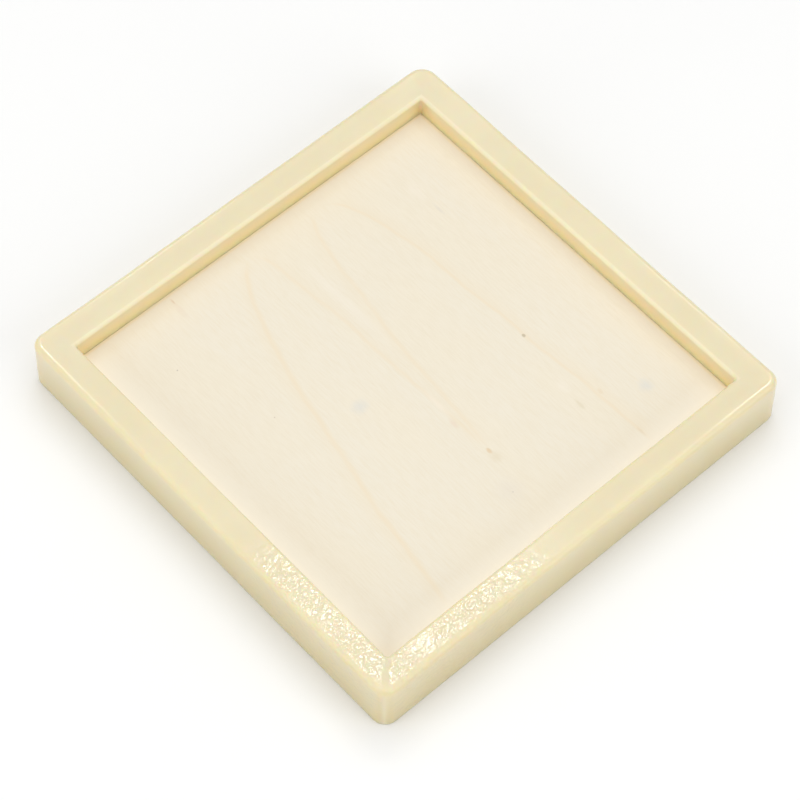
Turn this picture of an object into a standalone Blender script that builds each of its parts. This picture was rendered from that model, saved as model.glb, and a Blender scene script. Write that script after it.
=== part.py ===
"""Shallow square tray: a moulded rim bonded around a five-ply plywood panel.

The rim is one ring with eased edges and a top that falls gently inwards. Below its lip a rebate
takes the panel from underneath, and a bead of adhesive round the panel's lower edge holds it.
Units are metres and +Z is up. The origin is the middle of the face that the tray stands on.
"""
from math import cos, pi, radians, sin

import bmesh
import bpy

# Rim
SIDE = 0.150                # outside width at the base
HEIGHT = 0.0176             # base to the highest line of the rim
DRAFT = 0.0003              # how much each outer wall leans in over the height
RIM_WIDTH = 0.0095          # outer wall to inner wall, at the top
TOP_FALL = 0.0007           # the top is this much lower at the inner wall
OUTER_RADIUS = 0.0045       # outside corners, seen from above
OPENING_RADIUS = 0.0008     # inside corners of the lip
REBATE_RADIUS = 0.0022      # inside corners of the rebate under the lip
BASE_EASE = 0.0006          # rounding of the bottom outer edge
OUTER_EASE = 0.0017         # rounding of the top outer edge
INNER_EASE = 0.0011         # rounding of the top inner edge

# Panel
PANEL_FACE = 0.0095         # height of the visible plywood face above the base
LIP_COVER = 0.0045          # how far the lip laps over the panel's edge
PLY_NAMES = ("face_veneer", "upper_crossband", "core_veneer", "lower_crossband", "back_veneer")
PLY_PITCH = 0.0013          # one ply and its glue line: five make a 6.5 mm board

# Adhesive
BEAD_LEG = 0.0022           # width and height of the bead's section
BEAD_EDGE = 0.0004          # width left at its thin lower edge

GAP = 0.0003                # clearance between pieces that touch
CORNER_STEPS = 8            # flats round each rounded corner
EASE_STEPS = 4              # flats across each eased edge

IVORY = (0.86, 0.74, 0.50, 1.0)
PALE_WOOD = (0.90, 0.81, 0.67, 1.0)
CROSS_WOOD = (0.78, 0.62, 0.42, 1.0)
BACK_WOOD = (0.84, 0.72, 0.55, 1.0)
AMBER = (0.80, 0.66, 0.40, 1.0)

HALF_TOP = SIDE / 2 - DRAFT
OPENING_HALF = HALF_TOP - RIM_WIDTH
REBATE_HALF = OPENING_HALF + LIP_COVER
PANEL_HALF = REBATE_HALF - GAP
PANEL_RADIUS = REBATE_RADIUS - GAP
LIP_UNDERSIDE = PANEL_FACE + GAP
PLY_THICKNESS = PLY_PITCH - GAP * (len(PLY_NAMES) - 1) / len(PLY_NAMES)
PANEL_BACK = PANEL_FACE - PLY_PITCH * len(PLY_NAMES)


def clear_scene():
    """Remove whatever the scene holds."""
    for item in list(bpy.data.objects):
        bpy.data.objects.remove(item, do_unlink=True)


def make_material(name, colour, roughness):
    """A plain non-metal finish."""
    material = bpy.data.materials.new(name)
    material.use_nodes = True
    shader = material.node_tree.nodes["Principled BSDF"]
    shader.inputs["Base Color"].default_value = colour
    shader.inputs["Roughness"].default_value = roughness
    shader.inputs["Metallic"].default_value = 0.0
    return material


def finish_object(name, bm, material, tray, parent):
    """Turn a bmesh into a named object of the tray, smooth except at its real edges."""
    bmesh.ops.recalc_face_normals(bm, faces=bm.faces)
    mesh = bpy.data.meshes.new(name)
    bm.to_mesh(mesh)
    bm.free()
    mesh.materials.append(material)
    mesh.shade_smooth()
    mesh.set_sharp_from_angle(angle=radians(30))
    piece = bpy.data.objects.new(name, mesh)
    piece.parent = parent
    tray.objects.link(piece)
    return piece


def rounded_square(half, radius):
    """Points round a square of the given half width whose corners are arcs."""
    points = []
    for corner in range(4):
        start = corner * pi / 2
        centre_x = (half - radius) * (1 if corner in (0, 3) else -1)
        centre_y = (half - radius) * (1 if corner in (0, 1) else -1)
        for step in range(CORNER_STEPS + 1):
            angle = start + step / CORNER_STEPS * pi / 2
            points.append((centre_x + radius * cos(angle), centre_y + radius * sin(angle)))
    return points


def add_loop(bm, half, height, radius):
    """One closed loop of edges: a rounded square at a height."""
    verts = [bm.verts.new((x, y, height)) for x, y in rounded_square(half, radius)]
    return [bm.edges.new((verts[i - 1], verts[i])) for i in range(len(verts))]


def loft_ring(section):
    """A closed ring through rounded squares, given as (half width, height, corner radius)."""
    bm = bmesh.new()
    loops = [add_loop(bm, *station) for station in section]
    for index, loop in enumerate(loops):
        bmesh.ops.bridge_loops(bm, edges=loops[index - 1] + loop)
    return bm


def ease(centre_half, centre_height, size, start, end):
    """Half widths and heights along an arc of the section, from one angle to another."""
    arc = []
    for step in range(EASE_STEPS + 1):
        angle = radians(start + (end - start) * step / EASE_STEPS)
        arc.append((centre_half + size * cos(angle), centre_height + size * sin(angle)))
    return arc


def rim_section():
    """The rim's section as stations, from the base up the outside and down the inside."""
    outside = ease(SIDE / 2 - BASE_EASE, BASE_EASE, BASE_EASE, -90, 0)
    outside += ease(HALF_TOP - OUTER_EASE, HEIGHT - OUTER_EASE, OUTER_EASE, 0, 90)
    crown = HEIGHT - TOP_FALL - INNER_EASE
    inside = ease(OPENING_HALF + INNER_EASE, crown, INNER_EASE, 90, 180)
    inside.append((OPENING_HALF, LIP_UNDERSIDE))
    section = []
    for half, height in outside:
        section.append((half, height, OUTER_RADIUS - (SIDE / 2 - half)))
    for half, height in inside:
        section.append((half, height, OPENING_RADIUS + (half - OPENING_HALF)))
    section.append((REBATE_HALF, LIP_UNDERSIDE, REBATE_RADIUS))
    section.append((REBATE_HALF, 0.0, REBATE_RADIUS))
    return section


def bead_section():
    """A triangular fillet of adhesive in the angle between the rebate and the panel's back."""
    outer = REBATE_HALF - GAP
    top = PANEL_BACK - GAP
    return [
        (outer, top, PANEL_RADIUS),
        (outer - BEAD_LEG, top, PANEL_RADIUS),
        (outer - BEAD_EDGE, top - BEAD_LEG, PANEL_RADIUS),
        (outer, top - BEAD_LEG, PANEL_RADIUS),
    ]


def veneer(top):
    """One ply: a thin square sheet with its corners rounded to suit the rebate."""
    bm = bmesh.new()
    bmesh.ops.create_cube(bm, size=1.0)
    bmesh.ops.scale(bm, vec=(2 * PANEL_HALF, 2 * PANEL_HALF, PLY_THICKNESS), verts=bm.verts)
    bmesh.ops.translate(bm, vec=(0, 0, top - PLY_THICKNESS / 2), verts=bm.verts)
    upright = [edge for edge in bm.edges if edge.verts[0].co.xy == edge.verts[1].co.xy]
    bmesh.ops.bevel(bm, geom=upright, offset=PANEL_RADIUS, offset_type="OFFSET",
                    segments=CORNER_STEPS, profile=0.5, affect="EDGES")
    return bm


def build_tray():
    """The rim, the five plies and the adhesive, under one empty."""
    clear_scene()
    tray = bpy.data.collections.new("panelled_tray")
    bpy.context.scene.collection.children.link(tray)
    origin = bpy.data.objects.new("tray_origin", None)
    tray.objects.link(origin)

    ivory = make_material("rim_ivory", IVORY, 0.28)
    finish_object("rim", loft_ring(rim_section()), ivory, tray, origin)

    cross_grain = make_material("cross_grain_wood", CROSS_WOOD, 0.7)
    wood = {
        "face_veneer": make_material("face_wood", PALE_WOOD, 0.6),
        "core_veneer": make_material("core_wood", BACK_WOOD, 0.7),
        "back_veneer": make_material("back_wood", BACK_WOOD, 0.65),
    }
    top = PANEL_FACE
    for name in PLY_NAMES:
        finish_object(name, veneer(top), wood.get(name, cross_grain), tray, origin)
        top -= PLY_THICKNESS + GAP

    amber = make_material("dried_adhesive", AMBER, 0.35)
    finish_object("adhesive_bead", loft_ring(bead_section()), amber, tray, origin)


build_tray()
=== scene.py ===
"""How the panelled tray looks: its cast ivory rim, its plywood and its adhesive, in a plain studio.

Lengths are metres, except inside the materials, where patterns are laid out in millimetres.
"""
from math import cos, pi, radians, sin

import bpy
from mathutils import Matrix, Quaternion, Vector, noise


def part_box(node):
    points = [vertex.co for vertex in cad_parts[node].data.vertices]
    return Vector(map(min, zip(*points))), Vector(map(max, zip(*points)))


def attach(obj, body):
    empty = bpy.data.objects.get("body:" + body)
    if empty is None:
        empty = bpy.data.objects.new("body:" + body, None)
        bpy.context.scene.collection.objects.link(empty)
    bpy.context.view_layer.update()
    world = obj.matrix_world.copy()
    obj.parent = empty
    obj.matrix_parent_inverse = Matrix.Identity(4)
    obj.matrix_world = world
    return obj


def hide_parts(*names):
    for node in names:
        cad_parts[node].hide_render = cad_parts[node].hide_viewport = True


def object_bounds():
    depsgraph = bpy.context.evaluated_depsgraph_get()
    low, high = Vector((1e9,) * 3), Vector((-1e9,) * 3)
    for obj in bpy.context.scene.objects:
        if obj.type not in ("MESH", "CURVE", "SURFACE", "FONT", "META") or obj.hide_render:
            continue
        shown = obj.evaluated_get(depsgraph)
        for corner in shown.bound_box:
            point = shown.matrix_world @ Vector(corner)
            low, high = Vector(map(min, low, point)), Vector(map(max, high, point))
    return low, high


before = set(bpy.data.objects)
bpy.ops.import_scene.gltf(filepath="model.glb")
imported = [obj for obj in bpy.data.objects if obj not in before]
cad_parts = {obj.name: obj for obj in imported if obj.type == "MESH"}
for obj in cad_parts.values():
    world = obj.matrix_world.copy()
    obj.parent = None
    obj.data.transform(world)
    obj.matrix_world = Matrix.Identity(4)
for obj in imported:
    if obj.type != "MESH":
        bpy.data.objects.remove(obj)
cad_low, cad_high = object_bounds()

MM = 0.001

# The frame's own sizes
SIDE = cad_high.x - cad_low.x
HEIGHT = cad_high.z
PANEL_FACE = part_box("face_veneer")[1].z
PANEL_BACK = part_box("back_veneer")[0].z
PANEL_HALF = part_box("face_veneer")[1].x

# Shape of the rim
DRAFT = 0.3 * MM            # how much each outer wall leans in over the height
RIM_WIDTH = 9.5 * MM        # outer wall to inner wall, at the top
TOP_FALL = 0.7 * MM         # the top is this much lower at the inner wall
GAP = 0.3 * MM              # clearance that the frame keeps between its solids
CORNER_RADII = (5.6 * MM, 4.5 * MM, 4.5 * MM, 4.5 * MM)     # outside corners, the far one first
OPENING_RADIUS = 0.8 * MM   # inside corners of the lip
REBATE_RADIUS = 2.2 * MM    # inside corners of the rebate under the lip
BASE_EASE = 0.6 * MM        # rounding of the bottom outer edge
OUTER_EASE = 1.7 * MM       # rounding of the top outer edge
INNER_EASE = 1.1 * MM       # rounding of the top inner edge
LIP_EASE = 0.03 * MM        # rounding of the lip's lower edge
SEAM = 0.01 * MM            # from the veneer up to the lip, before its skin is sunk
HALF_TOP = SIDE / 2 - DRAFT
OPENING_HALF = HALF_TOP - RIM_WIDTH
REBATE_HALF = PANEL_HALF + GAP
LIP_UNDERSIDE = PANEL_FACE + SEAM

# Shape of the adhesive: its width, the mean and the swing of how full it is, and their wavelength
BEAD_LEG = 2.2 * MM
BEAD_FILL = 0.74
BEAD_SWING = 0.24
BEAD_WAVE = 7 * MM

# Fineness of the meshes
SIDE_STEPS = 150
CORNER_STEPS = 14
EASE_STEPS = 8
WALL_STEPS = 14
TOP_STEPS = 12
UNDERSIDE_STEPS = 4
BEAD_STEPS = 6
SHARP_ANGLE = radians(50)

# Unevenness of the casting: depth and wavelength
SWELL = (0.08 * MM, 30 * MM)
RIPPLE = (0.014 * MM, 6 * MM)

# Unevenness of the eased edges: part of their radius, and wavelength
EASE_SWING = 0.22
EASE_WAVE = 30 * MM

# Camera: where it looks from, and what it looks at
VIEW_AZIMUTH = -133.08
VIEW_ELEVATION = 58.21
VIEW_DISTANCE = 0.8666
VIEW_ROLL = 1.25
AIM = Vector((-0.0074, -0.0062, 0.012))
LENS = 139.8
SENSOR_WIDTH = 36.0

# Light: the white surroundings, then square softboxes by name, place, width and brightness
TENT_STRENGTH = 0.54
SOFTBOXES = (
    ("top_softbox", (0.22, 0.22, 1.35), 1.6, 0.95),
    ("left_softbox", (-0.99, 0.20, 0.60), 0.9, 1.3),
    ("right_softbox", (0.20, -0.99, 0.60), 0.9, 1.3),
    ("left_glint", (1.84, 1.29, 3.20), 0.24, 22.0),
    ("right_glint", (1.23, 1.95, 3.20), 0.24, 22.0),
)
FLOOR_SIZE = 8.0


# ---------------------------------------------------------------- materials

class Finish:
    """A node material, with short names for the few kinds of node that it needs."""

    def __init__(self, name):
        self.material = bpy.data.materials.new(name)
        self.material.use_nodes = True
        self.tree = self.material.node_tree
        self.shader = self.tree.nodes["Principled BSDF"]
        place = self.tree.nodes.new("ShaderNodeTexCoord").outputs["Object"]
        self.mm = self.vector("DIVIDE", place, (MM, MM, MM))
        axes = self.tree.nodes.new("ShaderNodeSeparateXYZ")
        self.link(self.mm, axes.inputs[0])
        self.x, self.y, self.z = axes.outputs

    def link(self, source, socket):
        if isinstance(source, bpy.types.NodeSocket):
            self.tree.links.new(source, socket)
        else:
            socket.default_value = source

    def vector(self, operation, first, second):
        node = self.tree.nodes.new("ShaderNodeVectorMath")
        node.operation = operation
        self.link(first, node.inputs[0])
        self.link(second, node.inputs[1])
        return node.outputs[0]

    def math(self, operation, first, second=0.0):
        node = self.tree.nodes.new("ShaderNodeMath")
        node.operation = operation
        self.link(first, node.inputs[0])
        self.link(second, node.inputs[1])
        return node.outputs[0]

    def add(self, first, second):
        return self.math("ADD", first, second)

    def times(self, first, second):
        return self.math("MULTIPLY", first, second)

    def larger(self, first, second):
        return self.math("MAXIMUM", first, second)

    def unsigned(self, value):
        return self.math("ABSOLUTE", value)

    def reach(self):
        """How far out from the tray's middle line, measured square to the nearest side."""
        return self.larger(self.unsigned(self.x), self.unsigned(self.y))

    def step(self, value, low, high):
        """0 up to low and 1 from high, smoothly; the other way round when low is above high."""
        node = self.tree.nodes.new("ShaderNodeMapRange")
        node.interpolation_type = "SMOOTHSTEP"
        flip = low > high
        self.link(value, node.inputs["Value"])
        self.link(high if flip else low, node.inputs["From Min"])
        self.link(low if flip else high, node.inputs["From Max"])
        node.inputs["To Min"].default_value = 1.0 if flip else 0.0
        node.inputs["To Max"].default_value = 0.0 if flip else 1.0
        return node.outputs["Result"]

    def span(self, value, low, high):
        """A 0 to 1 value spread between two numbers."""
        node = self.tree.nodes.new("ShaderNodeMapRange")
        self.link(value, node.inputs["Value"])
        node.inputs["To Min"].default_value = low
        node.inputs["To Max"].default_value = high
        return node.outputs["Result"]

    def noise(self, cell, detail=2.0, roughness=0.5, seed=0.0, distortion=0.0):
        """Noise whose cells measure this many millimetres along X, Y and Z, shifted by a seed."""
        stretched = self.vector("DIVIDE", self.mm, cell)
        shifted = self.vector("ADD", stretched, (seed, seed * 1.7, seed * 2.3))
        node = self.tree.nodes.new("ShaderNodeTexNoise")
        self.link(shifted, node.inputs["Vector"])
        node.inputs["Scale"].default_value = 1.0
        node.inputs["Detail"].default_value = detail
        node.inputs["Roughness"].default_value = roughness
        node.inputs["Distortion"].default_value = distortion
        return node.outputs["Fac"]

    def cells(self, cell, seed=0.0):
        """Distance inside a pattern of irregular cells of this size in millimetres."""
        stretched = self.vector("DIVIDE", self.mm, cell)
        shifted = self.vector("ADD", stretched, (seed, seed * 1.3, seed * 0.7))
        node = self.tree.nodes.new("ShaderNodeTexVoronoi")
        self.link(shifted, node.inputs["Vector"])
        node.inputs["Scale"].default_value = 1.0
        return node.outputs["Distance"]

    def mix(self, amount, first, second):
        node = self.tree.nodes.new("ShaderNodeMix")
        node.data_type = "RGBA"
        self.link(amount, node.inputs["Factor"])
        colour_in = [socket for socket in node.inputs if socket.type == "RGBA"]
        self.link(first, colour_in[0])
        self.link(second, colour_in[1])
        return [socket for socket in node.outputs if socket.type == "RGBA"][0]

    def bump(self, height, depth, after=None):
        """Relief of this many millimetres where the height goes from 0 to 1."""
        node = self.tree.nodes.new("ShaderNodeBump")
        node.inputs["Strength"].default_value = 1.0
        node.inputs["Distance"].default_value = depth * MM
        self.link(height, node.inputs["Height"])
        if after is not None:
            self.link(after, node.inputs["Normal"])
        return node.outputs["Normal"]

    def set(self, name, value):
        """Feed one input of the shader with a pattern or a plain value."""
        self.link(value, self.shader.inputs[name])


def srgb(red, green, blue):
    """A colour given as 0 to 255 display values, as the linear RGBA that shaders take."""
    linear = []
    for value in (red, green, blue):
        part = value / 255
        linear.append(part / 12.92 if part <= 0.04045 else ((part + 0.055) / 1.055) ** 2.4)
    return (*linear, 1.0)


# Where the rim's painted shade and painted light change, in millimetres: where each change starts and
# where it is full
SHADED_WALL_REACH = (HALF_TOP / MM - 1.3, HALF_TOP / MM - 0.2)
FOOT_SHADE_DROP = (HEIGHT / MM + 4.4, -2.0)
OPENING_REACH = (OPENING_HALF / MM + 0.8, OPENING_HALF / MM + 0.1)
OPENING_DROP = (HEIGHT / MM + 0.4, PANEL_FACE / MM - 0.5)
BROW_REACH = (OPENING_HALF / MM + 1.3, OPENING_HALF / MM + 0.8)
BROW_HEIGHT = (HEIGHT / MM - 2.0, HEIGHT / MM - 1.2)

# The same along the diagonal, as x + y
FAR_SIDES = (-6, 6)
NEAR_CORNER = (-81, -106)


def cast_ivory():
    """Cast resin: glossy, a little translucent, with painted shade that darkens the outer walls
    towards the foot, painted light on the walls of the opening and a painted highlight along the far
    inner edges.
    """
    look = Finish("cast_ivory")
    reach = look.reach()
    diagonal = look.add(look.x, look.y)

    cloud = look.noise((24, 24, 16), detail=3, seed=4.1)
    tone = look.mix(look.step(cloud, 0.35, 0.68), srgb(225, 215, 179), srgb(227, 218, 183))

    # Painted shade: the outer walls are coloured darker and deeper towards the foot, standing in for
    # the shade near the floor.
    shaded_wall = look.step(reach, *SHADED_WALL_REACH)
    foot_shade = look.math("POWER", look.step(look.z, *FOOT_SHADE_DROP), 0.8)
    tone = look.mix(look.times(shaded_wall, foot_shade), tone, srgb(215, 198, 148))

    # Painted light: the walls of the opening are coloured lighter and warmer, standing in for light
    # glowing through the resin and lifting the shade in the recess.
    opening_glow = look.times(look.step(reach, *OPENING_REACH), look.step(look.z, *OPENING_DROP))
    tone = look.mix(opening_glow, tone, srgb(252, 223, 157))

    # Painted highlight: a pale line along the top inner edge of the two far sides.
    brow = look.times(look.step(reach, *BROW_REACH), look.step(look.z, *BROW_HEIGHT))
    far_brow_highlight = look.times(brow, look.step(diagonal, *FAR_SIDES))
    tone = look.mix(look.times(far_brow_highlight, 0.5), tone, srgb(243, 235, 206))
    look.set("Base Color", tone)

    look.set("IOR", 1.45)
    look.set("Subsurface Weight", 0.85)
    look.set("Subsurface Radius", (1.0, 0.62, 0.30))
    look.set("Subsurface Scale", 5.0 * MM)
    look.set("Coat Weight", 0.7)
    look.set("Coat Roughness", 0.09)
    smear = look.noise((9, 9, 9), detail=3, seed=2.2)
    look.set("Roughness", look.span(smear, 0.30, 0.42))

    peel = look.noise((2.6, 2.6, 2.6), detail=1, seed=6.6)
    skin = look.bump(peel, 0.012)
    near_corner = look.step(diagonal, *NEAR_CORNER)
    patch = look.step(look.noise((7, 7, 7), detail=1, seed=9.4), 0.30, 0.52)
    uneven = look.times(near_corner, look.span(patch, 0.45, 1.0))
    amount = look.span(uneven, 0.04, 1.0)
    pebbles = look.step(look.noise((1.6, 1.6, 1.6), detail=1.5, seed=3.3), 0.3, 0.7)
    relief = look.bump(look.times(pebbles, amount), 0.06, after=skin)
    look.set("Normal", relief)
    look.set("Coat Normal", relief)
    return look.material


# Growth lines on the face veneer. Each leg leaves its arch's crown and spreads sideways as a power
# of the distance below the crown: crown x, side, reach, power, lowest y, half width and strength.
ARCH_TOP = 59.0
ARCH_LEGS = (
    (-6.6, -1, 2.10, 0.58, -80.0, 1.7, 1.0),
    (-6.6, 1, 2.60, 0.24, -31.0, 1.3, 0.8),
    (18.5, -1, 1.75, 0.50, -32.0, 1.4, 0.8),
    (18.5, 1, 5.64, 0.25, -80.0, 1.1, 1.0),
)

# Painted light along the veneer's edges, in millimetres: where each starts and where it is full
EDGE_BOUNCE_LIGHT = (OPENING_HALF / MM - 1.2, OPENING_HALF / MM + 0.1)
FAR_BORDER_LIGHT = (OPENING_HALF / MM - 4.2, OPENING_HALF / MM - 0.7)
NEAR_BORDER_LIGHT = (OPENING_HALF / MM - 10.2, OPENING_HALF / MM - 1.2)

# Marks in the wood: x, y, half width, half length, softness, colour, strength
WOOD_MARKS = (
    (-16.1, 0.7, 4.0, 3.4, 1.0, (216, 217, 213), 0.45),
    (48.6, -47.3, 3.2, 3.6, 1.0, (216, 217, 214), 0.45),
    (4.0, 30.0, 2.6, 26.0, 0.95, (241, 233, 217), 0.45),
    (0.6, -13.0, 1.3, 7.5, 0.90, (243, 234, 218), 0.50),
    (34.3, -12.4, 0.65, 0.85, 0.70, (188, 172, 142), 0.75),
    (-0.4, -20.8, 1.2, 2.6, 0.80, (230, 208, 184), 0.40),
    (1.1, -33.7, 0.8, 1.6, 0.75, (222, 196, 156), 0.70),
    (1.1, -36.3, 2.4, 3.0, 0.90, (224, 210, 180), 0.40),
    (-32.7, 63.4, 0.4, 2.4, 0.60, (204, 172, 128), 0.70),
    (-32.9, 59.0, 1.4, 5.0, 0.90, (226, 210, 190), 0.35),
    (45.9, 36.0, 0.7, 3.6, 0.80, (220, 212, 198), 0.45),
    (45.0, 45.0, 2.6, 5.0, 0.95, (242, 234, 219), 0.40),
    (30.4, -39.6, 0.9, 2.8, 0.80, (220, 208, 178), 0.45),
    (31.0, -32.5, 2.8, 4.0, 0.95, (242, 234, 218), 0.40),
    (37.6, -40.3, 0.9, 1.8, 0.80, (226, 206, 172), 0.35),
    (37.0, -57.4, 0.5, 2.6, 0.70, (214, 198, 166), 0.35),
    (-46.6, 43.8, 0.35, 0.35, 0.60, (170, 158, 142), 0.55),
    (-36.3, 13.9, 0.30, 0.30, 0.60, (198, 180, 162), 0.55),
    (-3.0, -47.8, 0.30, 0.30, 0.60, (180, 170, 156), 0.50),
    (-3.3, -47.0, 6.0, 6.5, 1.0, (228, 219, 205), 0.35),
)


# The plainer veneers: node, material, direction of the grain, light and dark tones, seed
PLAIN_PLIES = (
    ("upper_crossband", "crossband_wood", "X", (214, 184, 142), (192, 156, 112), 3.1),
    ("core_veneer", "core_wood", "Y", (226, 202, 164), (206, 176, 134), 5.3),
    ("lower_crossband", "lower_crossband_wood", "X", (214, 184, 142), (192, 156, 112), 7.9),
    ("back_veneer", "back_wood", "Y", (232, 214, 184), (214, 190, 152), 2.4),
)


def grain_cell(along, width, length, depth):
    """The size of a cell that is long along the grain, which runs along Y or X."""
    return (width, length, depth) if along == "Y" else (length, width, depth)


def wood_fibre(look, along):
    """Fine fibre streaks and vessel ticks."""
    fibres = look.noise(grain_cell(along, 0.45, 5.0, 1.0), detail=3, roughness=0.6, seed=1.2)
    vessels = look.noise(grain_cell(along, 0.22, 3.2, 1.0), detail=1, seed=7.7)
    return fibres, look.step(vessels, 0.66, 0.76)


def arch_line(look, leg, wander):
    """How strongly one leg of a growth arch shows: a thin line with a paler band outside it."""
    crown_x, side, reach, power, foot, half_width, strength = leg
    below = look.larger(look.math("SUBTRACT", ARCH_TOP, look.y), 0.001)
    spread = look.times(look.math("POWER", below, power), side * reach)
    middle = look.add(look.add(spread, crown_x), wander)
    off = look.times(look.math("SUBTRACT", look.x, middle), side)
    line = look.step(look.unsigned(off), half_width, 0.0)
    band = look.times(look.step(off, 0.0, 0.8), look.step(off, 5.0, 0.8))
    shade = look.larger(line, look.times(band, 0.35))
    length = look.times(look.step(look.y, ARCH_TOP + 0.5, ARCH_TOP - 4.0),
                        look.step(look.y, foot - 3.0, foot + 6.0))
    return look.times(look.times(shade, length), strength)


def wood_mark(look, tone, mark, ragged):
    """Lay one soft-edged mark over the wood's tone."""
    x, y, half_width, half_length, softness, colour, strength = mark
    across = look.math("DIVIDE", look.math("SUBTRACT", look.x, x), half_width)
    along = look.math("DIVIDE", look.math("SUBTRACT", look.y, y), half_length)
    square = look.add(look.times(across, across), look.times(along, along))
    reach = look.add(look.math("SQRT", square), look.span(ragged, -0.35, 0.35))
    spot = look.times(look.step(reach, 1.0, 1.0 - softness), strength)
    return look.mix(spot, tone, srgb(*colour))


def face_birch():
    """Pale rotary-cut veneer: two nested growth arches, pin knots, faint stains, fine fibre, and
    painted light along its edges.
    """
    look = Finish("face_birch")
    fibres, ticks = wood_fibre(look, "Y")
    patch = look.noise((16, 44, 10), detail=2, seed=5.0)
    tone = look.mix(look.step(patch, 0.35, 0.65), srgb(238, 229, 209), srgb(237, 229, 211))
    tone = look.mix(look.step(fibres, 0.30, 0.85), tone, srgb(234, 224, 202))
    tone = look.mix(look.times(ticks, 0.12), tone, srgb(220, 204, 176))

    wander = look.span(look.noise((60, 18, 10), detail=3, seed=8.8), -1.4, 1.4)
    lines = 0.0
    for leg in ARCH_LEGS:
        lines = look.larger(lines, arch_line(look, leg, wander))
    fade = look.span(look.noise((30, 9, 10), detail=2, seed=3.9), 0.40, 0.85)
    tone = look.mix(look.times(lines, fade), tone, srgb(236, 221, 193))

    ragged = look.noise((1.6, 2.4, 1.0), detail=3, roughness=0.65, seed=2.5)
    for mark in WOOD_MARKS:
        tone = wood_mark(look, tone, mark, ragged)

    far = look.larger(look.x, look.y)
    near = look.larger(look.times(look.x, -1.0), look.times(look.y, -1.0))
    # Painted light: the veneer is lightened along its borders, more widely on the near sides, to lift
    # the shade that the rim casts there.
    tone = look.mix(look.step(far, *FAR_BORDER_LIGHT), tone, srgb(244, 236, 219))
    tone = look.mix(look.step(near, *NEAR_BORDER_LIGHT), tone, srgb(250, 244, 229))
    # Painted light: a warm tint along the veneer's edge stands in for light bounced off the rim's
    # yellow walls into the seam's shade.
    bounce_tint = look.times(look.step(look.reach(), *EDGE_BOUNCE_LIGHT), 0.7)
    tone = look.mix(bounce_tint, tone, srgb(247, 228, 184))
    look.set("Base Color", tone)
    look.set("Roughness", look.span(fibres, 0.55, 0.72))
    look.set("IOR", 1.4)

    nap = look.noise((0.5, 2.5, 1.0), detail=3, roughness=0.7, seed=6.1)
    relief = look.bump(fibres, 0.02)
    look.set("Normal", look.bump(nap, 0.01, after=relief))
    return look.material


def plain_ply(name, along, light, dark, seed):
    """Veneer that the rim hides or that faces down: streaked, with broad growth bands."""
    look = Finish(name)
    fibres, ticks = wood_fibre(look, along)
    band = grain_cell(along, 5.0, 90.0, 4.0)
    growth = look.noise(band, detail=3, roughness=0.55, seed=seed, distortion=0.6)
    tone = look.mix(look.step(growth, 0.38, 0.64), srgb(*light), srgb(*dark))
    tone = look.mix(look.span(fibres, 0.0, 0.5), tone, srgb(*dark))
    tone = look.mix(look.times(ticks, 0.4), tone, srgb(*[part * 0.8 for part in dark]))
    look.set("Base Color", tone)
    look.set("Roughness", look.span(fibres, 0.6, 0.8))
    look.set("Normal", look.bump(fibres, 0.03))
    return look.material


def dried_adhesive():
    """Amber adhesive: glossy, cloudy, with trapped bubbles."""
    look = Finish("dried_adhesive")
    cloud = look.noise((4, 4, 3), detail=3, seed=1.9)
    tone = look.mix(cloud, srgb(222, 198, 142), srgb(236, 218, 172))
    bubbles = look.step(look.cells((1.3, 1.3, 1.3), seed=5.5), 0.26, 0.18)
    tone = look.mix(look.times(bubbles, 0.4), tone, srgb(246, 238, 214))
    look.set("Base Color", tone)
    look.set("Roughness", look.span(cloud, 0.12, 0.3))
    look.set("Subsurface Weight", 0.5)
    look.set("Subsurface Radius", (1.0, 0.6, 0.25))
    look.set("Subsurface Scale", 2.0 * MM)
    look.set("Normal", look.bump(look.noise((1.4, 1.4, 1.4), detail=2, seed=8.2), 0.05))
    return look.material


def studio_floor():
    """Matt white paper."""
    look = Finish("studio_floor")
    mottle = look.noise((160, 160, 160), detail=2, seed=3.0)
    look.set("Base Color", look.mix(mottle, srgb(247, 247, 246), srgb(251, 251, 250)))
    look.set("Roughness", look.span(mottle, 0.7, 0.8))
    return look.material


# ---------------------------------------------------------------- shapes

def ring_base(half, radii):
    """Points round a rounded square with the way outwards at each: the same count at any size."""
    points = []
    for corner in range(4):
        turn = corner * pi / 2
        across = Vector((cos(turn), sin(turn)))
        along = Vector((-sin(turn), cos(turn)))
        start, end = radii[corner - 1] - half, half - radii[corner]
        for step in range(SIDE_STEPS):
            run = start + (end - start) * step / SIDE_STEPS
            points.append((across * half + along * run, across))
        centre = (across + along) * end
        for step in range(CORNER_STEPS):
            angle = turn + pi / 2 * step / CORNER_STEPS
            outward = Vector((cos(angle), sin(angle)))
            points.append((centre + outward * radii[corner], outward))
    return points


def arc(start, end, steps):
    """Cosine and sine of evenly spaced angles in degrees."""
    angles = [radians(start + (end - start) * step / steps) for step in range(steps + 1)]
    return [(cos(angle), sin(angle)) for angle in angles]


def between(first, last, steps):
    """Points strictly between two others."""
    return [first.lerp(last, step / steps) for step in range(1, steps)]


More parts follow.
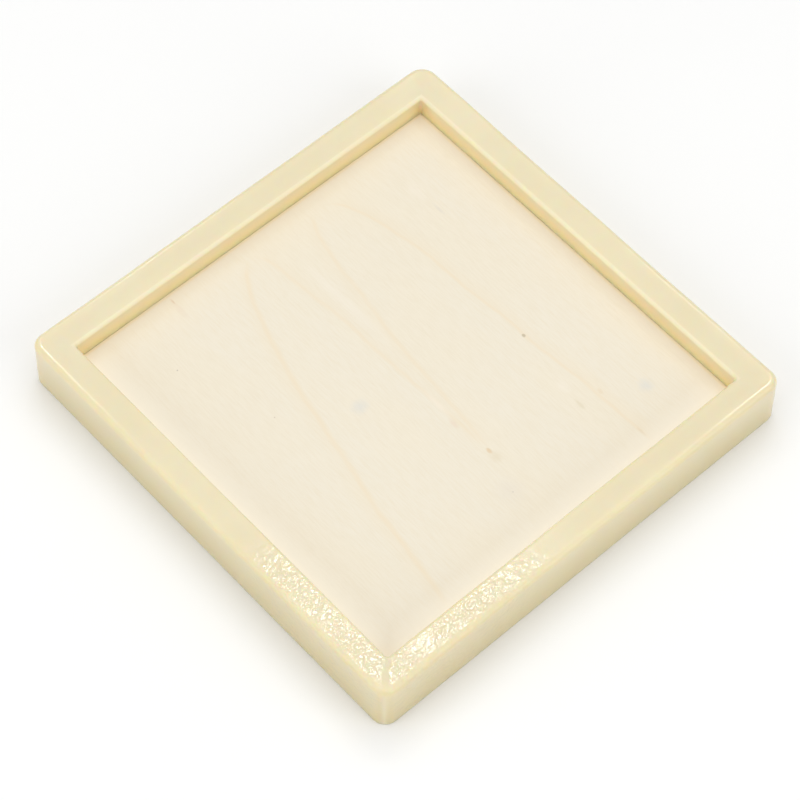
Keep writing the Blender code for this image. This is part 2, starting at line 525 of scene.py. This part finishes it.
def rim_column(outer, inner, rebate, ease_out, ease_in):
    """The rim's section at one place, from the base's inner edge round the outside to it again."""
    def outside(inset, height):
        return Vector((*(outer[0] - outer[1] * inset), height))

    def inside(setback, height):
        return Vector((*(inner[0] + inner[1] * setback), height))

    base_lean = DRAFT * BASE_EASE / HEIGHT
    rebate_foot = Vector((*rebate[0], 0.0))
    rebate_head = Vector((*rebate[0], LIP_UNDERSIDE))
    foot = [outside(BASE_EASE * (1 - c) + base_lean, BASE_EASE * (1 + s))
            for c, s in arc(-90, 0, EASE_STEPS // 2)]
    shoulder = [outside(DRAFT + ease_out * (1 - c), HEIGHT - ease_out * (1 - s))
                for c, s in arc(0, 90, EASE_STEPS)]
    crown = HEIGHT - TOP_FALL
    brow = [inside(ease_in * (1 + c), crown - ease_in * (1 - s))
            for c, s in arc(90, 180, EASE_STEPS)]
    lip = [inside(LIP_EASE * (1 + c), LIP_UNDERSIDE + LIP_EASE * (1 + s))
           for c, s in arc(180, 270, EASE_STEPS // 2)]
    section = [rebate_foot] + between(rebate_foot, foot[0], UNDERSIDE_STEPS) + foot
    section += between(foot[-1], shoulder[0], WALL_STEPS) + shoulder
    section += between(shoulder[-1], brow[0], TOP_STEPS) + brow
    section += between(brow[-1], lip[0], WALL_STEPS // 2) + lip
    section += between(lip[-1], rebate_head, UNDERSIDE_STEPS) + [rebate_head]
    section += between(rebate_head, rebate_foot, WALL_STEPS // 2)
    return section


def softened(size, place, seed):
    """An easing radius that wanders a little from place to place, as hand finishing leaves it."""
    return size * (1 + EASE_SWING * noise.noise(Vector((*place, seed * MM)) / EASE_WAVE))


def mesh_of_columns(name, columns):
    """A closed ring of quads from one list of points per place round the ring."""
    count, length = len(columns), len(columns[0])
    points = [point for column in columns for point in column]
    faces = []
    for i in range(count):
        here, there = i * length, (i + 1) % count * length
        for j in range(length):
            k = (j + 1) % length
            faces.append((here + j, there + j, there + k, here + k))
    mesh = bpy.data.meshes.new(name)
    mesh.from_pydata(points, [], faces)
    mesh.validate()
    mesh.shade_smooth()
    return mesh


def sink_skin(mesh, waves):
    """Press the surface in by gentle noise, never out, so that it stays inside its outline."""
    moved = []
    for vertex in mesh.vertices:
        depth = 0.0
        for index, (amount, wavelength) in enumerate(waves):
            where = vertex.co / wavelength + Vector((index * 7.3, 2.1, 4.7))
            depth += amount * (0.5 + 0.5 * noise.noise(where))
        moved.append(vertex.co - vertex.normal * depth)
    for vertex, place in zip(mesh.vertices, moved):
        vertex.co = place


def add_piece(name, mesh, material, node):
    """Put a finished mesh in the scene in place of a CAD node."""
    mesh.materials.append(material)
    piece = bpy.data.objects.new(name, mesh)
    bpy.context.scene.collection.objects.link(piece)
    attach(piece, "root")
    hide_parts(node)


def make_rim(material):
    """The cast rim, with its edges eased unevenly and its skin gently waved."""
    outer = ring_base(SIDE / 2, CORNER_RADII)
    inner = ring_base(OPENING_HALF, [OPENING_RADIUS] * 4)
    rebate = ring_base(REBATE_HALF, [REBATE_RADIUS] * 4)
    columns = []
    for places in zip(outer, inner, rebate):
        ease_out = softened(OUTER_EASE, places[0][0], 3.0)
        ease_in = softened(INNER_EASE, places[1][0], 8.0)
        columns.append(rim_column(*places, ease_out, ease_in))
    mesh = mesh_of_columns("rim_moulding", columns)
    sink_skin(mesh, (SWELL, RIPPLE))
    mesh.set_sharp_from_angle(angle=SHARP_ANGLE)
    add_piece("rim_moulding", mesh, material, "rim")


def make_bead(material):
    """The bead of adhesive: a hollow fillet of uneven width round the panel's back."""
    columns = []
    top = PANEL_BACK - GAP
    for place, outward in ring_base(PANEL_HALF, [REBATE_RADIUS - GAP] * 4):
        wander = noise.noise(Vector((*place, 0.02)) / BEAD_WAVE)
        leg = BEAD_LEG * (BEAD_FILL + BEAD_SWING * wander)
        corner = Vector((*place, top))
        inward = Vector((*-outward, 0.0))
        down = Vector((0.0, 0.0, -1.0))
        hollow = [corner + inward * leg * (1 - s) + down * leg * (1 - c)
                  for c, s in arc(0, 90, BEAD_STEPS)]
        columns.append([corner] + hollow)
    mesh = mesh_of_columns("adhesive_fillet", columns)
    mesh.set_sharp_from_angle(angle=SHARP_ANGLE)
    add_piece("adhesive_fillet", mesh, material, "adhesive_bead")


def refinish(node, material):
    """Give a CAD node a better material."""
    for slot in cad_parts[node].material_slots:
        slot.material = material


# ---------------------------------------------------------------- studio

def make_floor(material):
    bpy.ops.mesh.primitive_plane_add(size=FLOOR_SIZE, location=(0, 0, 0))
    floor = bpy.context.object
    floor.name = "studio_floor"
    floor.data.materials.append(material)


def make_camera():
    """The photograph's view: from above the corner where both sides are lowest in the frame."""
    azimuth, elevation = radians(VIEW_AZIMUTH), radians(VIEW_ELEVATION)
    back = Vector((cos(azimuth) * cos(elevation), sin(azimuth) * cos(elevation), sin(elevation)))
    camera = bpy.data.objects.new("camera", bpy.data.cameras.new("camera"))
    camera.data.lens = LENS
    camera.data.sensor_width = SENSOR_WIDTH
    camera.location = AIM + back * VIEW_DISTANCE
    camera.rotation_mode = "QUATERNION"
    upright = (-back).to_track_quat("-Z", "Y")
    camera.rotation_quaternion = upright @ Quaternion((0, 0, 1), radians(VIEW_ROLL))
    bpy.context.scene.collection.objects.link(camera)
    bpy.context.scene.camera = camera


def add_softbox(name, place, width, radiance):
    """A square light of this brightness that faces the tray."""
    light = bpy.data.lights.new(name, "AREA")
    light.shape = "SQUARE"
    light.size = width
    light.energy = radiance * pi * width * width
    lamp = bpy.data.objects.new(name, light)
    lamp.location = place
    lamp.rotation_mode = "QUATERNION"
    lamp.rotation_quaternion = Vector(place).to_track_quat("Z", "Y")
    bpy.context.scene.collection.objects.link(lamp)


def make_studio_light():
    """A white tent with a big light overhead, one on each near side, and two small ones far behind."""
    world = bpy.data.worlds.new("studio")
    world.use_nodes = True
    background = world.node_tree.nodes["Background"]
    background.inputs["Color"].default_value = (1.0, 1.0, 1.0, 1.0)
    background.inputs["Strength"].default_value = TENT_STRENGTH
    bpy.context.scene.world = world
    for softbox in SOFTBOXES:
        add_softbox(*softbox)
    bpy.context.scene.view_settings.view_transform = "Standard"


make_camera()
make_studio_light()
make_floor(studio_floor())
make_rim(cast_ivory())
make_bead(dried_adhesive())
refinish("face_veneer", face_birch())
for plain_node, *ply in PLAIN_PLIES:
    refinish(plain_node, plain_ply(*ply))
